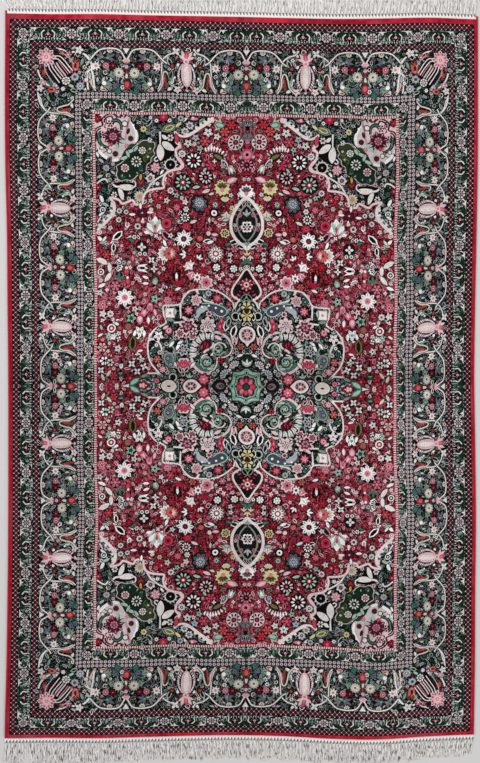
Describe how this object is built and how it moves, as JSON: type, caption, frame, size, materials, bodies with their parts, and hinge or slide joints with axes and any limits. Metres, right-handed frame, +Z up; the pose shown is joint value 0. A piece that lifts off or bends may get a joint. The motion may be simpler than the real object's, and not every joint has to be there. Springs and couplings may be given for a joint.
{
  "type": "hand-knotted rug",
  "caption": "Flat hand-knotted silk rug with a lobed medallion, repeating floral borders, overcast side edges and a knotted fringe at each end.",
  "frame": {"origin": "on the floor, under the middle of the whole rug with its fringes", "axes": "+Z up out of the pile, +Y along the length of the rug towards its top end, +X across it to the right"},
  "size_m": [1.2478, 2.023, 0.0064],
  "materials": {
    "silk_pile": "cut silk pile with a soft sheen, patterned in crimson, black, green, pink and ivory",
    "red_overcast": "red silk yarn wound round the edge cord",
    "cream_warp": "undyed cream warp yarn, plain woven at the heading and knotted into locks"
  },
  "bodies": {
    "root": {"woven_rug": "silk_pile", "side_binding_left": "red_overcast", "side_binding_right": "red_overcast", "fringe_top": "cream_warp", "fringe_bottom": "cream_warp"}
  },
  "joints": []
}
